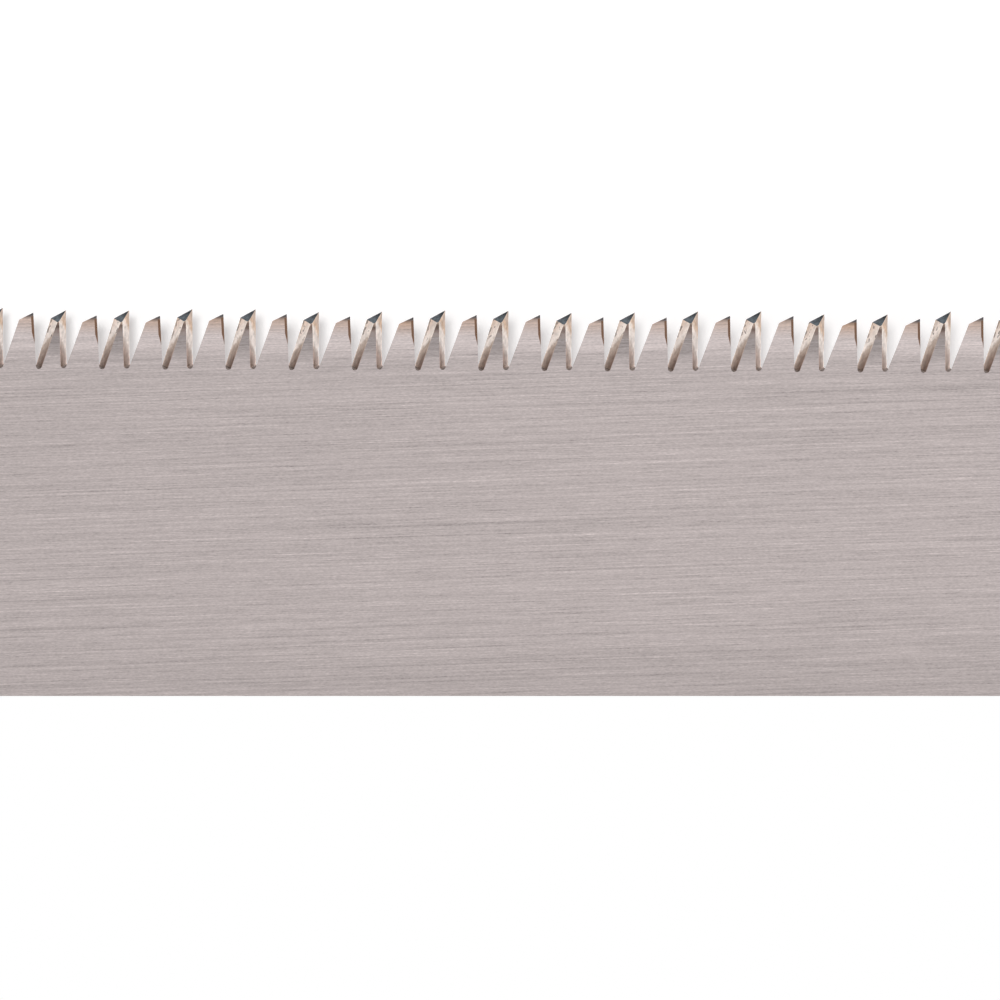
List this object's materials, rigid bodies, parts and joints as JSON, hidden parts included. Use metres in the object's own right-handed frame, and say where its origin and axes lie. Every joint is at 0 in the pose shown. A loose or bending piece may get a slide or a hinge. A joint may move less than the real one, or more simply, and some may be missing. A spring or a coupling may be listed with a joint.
{
  "type": "ryoba saw",
  "caption": "Japanese pull saw: a thin blade with a crosscut and a rip edge, held by a screw clamp in a cane-wound wooden handle.",
  "frame": {"origin": "under the middle of the saw's length and width, level with the lowest point of the handle", "axes": "+X from the toe of the blade to the butt of the handle, +Y to the crosscut edge, +Z square to the blade"},
  "size_m": [0.6, 0.0858, 0.0281],
  "materials": {
    "blade_steel": "finely ground along the blade, teeth tempered blue and straw at the tips",
    "clamp_steel": "nickel plated, satin",
    "tang_steel": "black mill scale",
    "screw_brass": "turned",
    "ferrule_steel": "drawn, satin",
    "core_wood": "planed, oiled",
    "split_cane": "natural cane skin, slightly glossy"
  },
  "bodies": {
    "handle": {"upper_clamp_cheek": "clamp_steel", "lower_clamp_cheek": "clamp_steel", "tang_bar": "tang_steel", "front_rivet": "clamp_steel", "rear_rivet": "clamp_steel", "clamp_nut": "clamp_steel", "upper_handle_half": "core_wood", "lower_handle_half": "core_wood", "front_ferrule": "ferrule_steel", "front_tang_pin": "tang_steel", "rear_tang_pin": "tang_steel", "rattan_wrap": "split_cane", "front_wrap_tack": "screw_brass", "rear_wrap_tack": "screw_brass"},
    "blade": {"saw_blade": "blade_steel"},
    "washer": {"screw_washer": "clamp_steel"},
    "screw": {"clamp_screw": "screw_brass"}
  },
  "joints": [
    {"name": "blade_slide", "type": "slide", "parent": "handle", "child": "blade", "axis": [-1, 0, 0], "range_m": [0, 0.046]},
    {"name": "screw_lift", "type": "slide", "parent": "handle", "child": "washer", "axis": [0, 0, 1], "range_m": [0, 0.0025]},
    {"name": "screw_turn", "type": "hinge", "parent": "washer", "child": "screw", "pos_m": [0.001, 0, 0.01373], "axis": [0, 0, 1], "range_deg": [0, 1080]}
  ],
  "couplings": [
    {"joint": "screw_lift", "follows": "screw_turn", "m_per_rad": 0.00012732}
  ]
}
